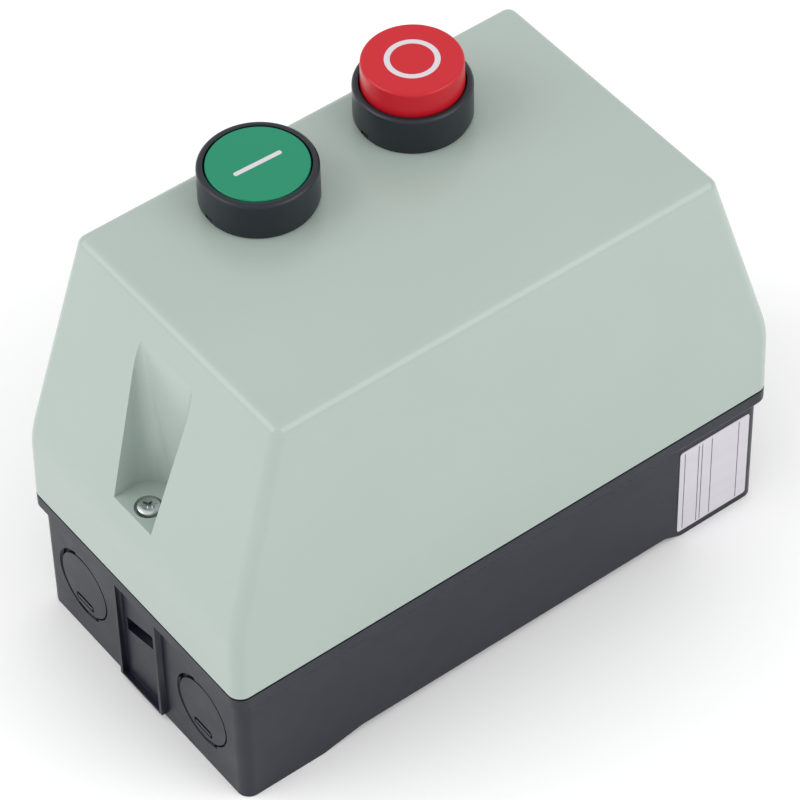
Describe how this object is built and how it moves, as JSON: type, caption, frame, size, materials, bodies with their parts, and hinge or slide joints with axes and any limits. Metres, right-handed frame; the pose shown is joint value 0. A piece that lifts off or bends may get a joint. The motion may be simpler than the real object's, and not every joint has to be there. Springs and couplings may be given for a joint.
{
  "type": "enclosed motor starter",
  "caption": "Enclosed motor starter: dark base, sloped grey-green cover, flush green start and raised red stop buttons, contactor and overload relay inside.",
  "frame": {"origin": "middle of the back, level with the feet", "axes": "+Z out of the wall through the front face with the buttons, +X along the length, +Y towards the side that the buttons are nearer to"},
  "size_m": [0.17, 0.0894, 0.142],
  "materials": {
    "base_plastic": "fine-textured dark grey moulding",
    "gasket_rubber": "soft black foam rubber",
    "nut_brass": "plain brass",
    "plate_silver": "silver-white foil, blank",
    "rail_steel": "zinc-plated steel",
    "screw_zinc": "bright zinc",
    "cover_plastic": "light grey-green satin moulding",
    "bezel_plastic": "black satin moulding",
    "start_green": "green satin moulding",
    "mark_white": "white inlay",
    "stem_plastic": "natural white plastic",
    "spring_steel": "bright spring wire",
    "stop_red": "red satin moulding",
    "gear_white": "off-white moulding",
    "lamination_steel": "stacked laminations",
    "coil_tape": "brown wound coil",
    "contact_copper": "bare copper",
    "gear_black": "black moulding",
    "bimetal_strip": "nickel-iron strip",
    "reset_blue": "blue moulding"
  },
  "bodies": {
    "base": {"base_housing": "base_plastic", "rim_gasket": "gasket_rubber", "cover_nuts": "nut_brass", "rating_plate": "plate_silver", "din_rail": "rail_steel", "rail_screws": "screw_zinc", "earth_bar": "nut_brass", "earth_screw": "screw_zinc", "contactor_base": "gear_white", "magnet_core": "lamination_steel", "coil": "coil_tape", "shading_rings": "contact_copper", "return_springs": "spring_steel", "contactor_head": "gear_white", "fixed_contacts": "contact_copper", "contactor_screws": "screw_zinc", "start_block": "gear_black", "start_block_spring": "spring_steel", "relay_base": "gear_black", "relay_head": "gear_white", "relay_links": "contact_copper", "relay_terminals": "contact_copper", "relay_screws": "screw_zinc", "bimetals": "bimetal_strip", "trip_slide": "stem_plastic", "reset_spring": "spring_steel"},
    "cover": {"top_cover": "cover_plastic", "cover_screws": "screw_zinc", "start_bezel": "bezel_plastic", "stop_bezel": "bezel_plastic", "bezel_seals": "gasket_rubber", "bezel_nuts": "bezel_plastic", "start_spring": "spring_steel", "stop_spring": "spring_steel"},
    "start_button": {"start_cap": "start_green", "start_mark": "mark_white", "start_plunger": "stem_plastic", "start_rod": "stem_plastic"},
    "stop_button": {"stop_cap": "stop_red", "stop_mark": "mark_white", "stop_plunger": "stem_plastic", "stop_rod": "stem_plastic"},
    "contactor_carrier": {"armature": "lamination_steel", "contact_carrier": "gear_black", "moving_contacts": "contact_copper", "contact_springs": "spring_steel"},
    "start_contact": {"start_block_plunger": "stem_plastic"},
    "reset": {"reset_button": "reset_blue"},
    "dial": {"current_dial": "gear_white"}
  },
  "joints": [
    {"name": "cover_lift", "type": "slide", "parent": "base", "child": "cover", "axis": [0, 0, 1], "range_m": [0, 0.12]},
    {"name": "start_press", "type": "slide", "parent": "cover", "child": "start_button", "axis": [0, 0, -1], "range_m": [0, 0.004], "stiffness_N_per_m": 500, "springref_m": -0.003, "deforming": ["start_spring"]},
    {"name": "stop_press", "type": "slide", "parent": "cover", "child": "stop_button", "axis": [0, 0, -1], "range_m": [0, 0.005], "stiffness_N_per_m": 500, "springref_m": -0.003, "deforming": ["stop_spring"]},
    {"name": "contactor_pull_in", "type": "slide", "parent": "base", "child": "contactor_carrier", "axis": [0, 0, -1], "range_m": [0, 0.004], "stiffness_N_per_m": 900, "springref_m": -0.003, "deforming": ["return_springs"]},
    {"name": "start_contact_press", "type": "slide", "parent": "base", "child": "start_contact", "axis": [0, 0, -1], "range_m": [0, 0.004], "stiffness_N_per_m": 100, "springref_m": -0.003, "deforming": ["start_block_spring"]},
    {"name": "reset_press", "type": "slide", "parent": "base", "child": "reset", "axis": [0, 0, -1], "range_m": [0, 0.005], "stiffness_N_per_m": 100, "springref_m": -0.003, "deforming": ["reset_spring"]},
    {"name": "dial_turn", "type": "hinge", "parent": "base", "child": "dial", "pos_m": [0.046, -0.002, 0.076], "axis": [0, 0, 1], "range_deg": [-135, 135]}
  ],
  "couplings": [
    {"joint": "start_contact_press", "follows": "start_press", "ratio": 1},
    {"joint": "reset_press", "follows": "stop_press", "ratio": 1}
  ]
}
